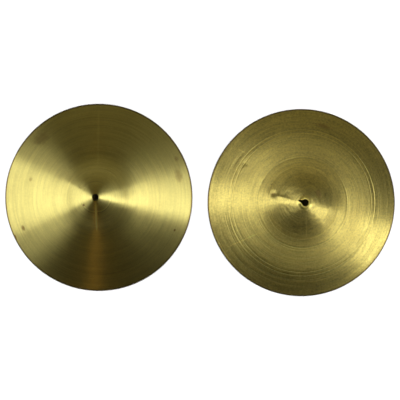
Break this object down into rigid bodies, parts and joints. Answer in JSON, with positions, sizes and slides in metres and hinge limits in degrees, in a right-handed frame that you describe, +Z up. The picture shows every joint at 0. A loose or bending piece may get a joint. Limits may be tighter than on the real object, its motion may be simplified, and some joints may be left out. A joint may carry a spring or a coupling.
{
  "type": "hand cymbals",
  "caption": "Bare hand cymbals: shallow bowed discs of spun sheet brass, each with a raised bell and a strap hole through its crown.",
  "frame": {"origin": "on the surface that the cymbals lie on, midway between the two discs", "axes": "+X from the left cymbal to the right one, +Y towards the back of the pair, +Z up out of the domes"},
  "size_m": [0.7402, 0.3656, 0.0315],
  "materials": {
    "left_brass": "smooth spun sheet brass with fine circular brushing, lightly tarnished and water-marked",
    "right_brass": "lathed sheet brass with coarser tool lines, dull and worn, with small dents and scratches"
  },
  "bodies": {
    "left_cymbal": {"left_cymbal": "left_brass"},
    "right_cymbal": {"right_cymbal": "right_brass"}
  },
  "joints": [
    {"name": "right_cymbal_lift", "type": "slide", "parent": "left_cymbal", "child": "right_cymbal", "axis": [0, 0, 1], "range_m": [0, 0.3]}
  ]
}
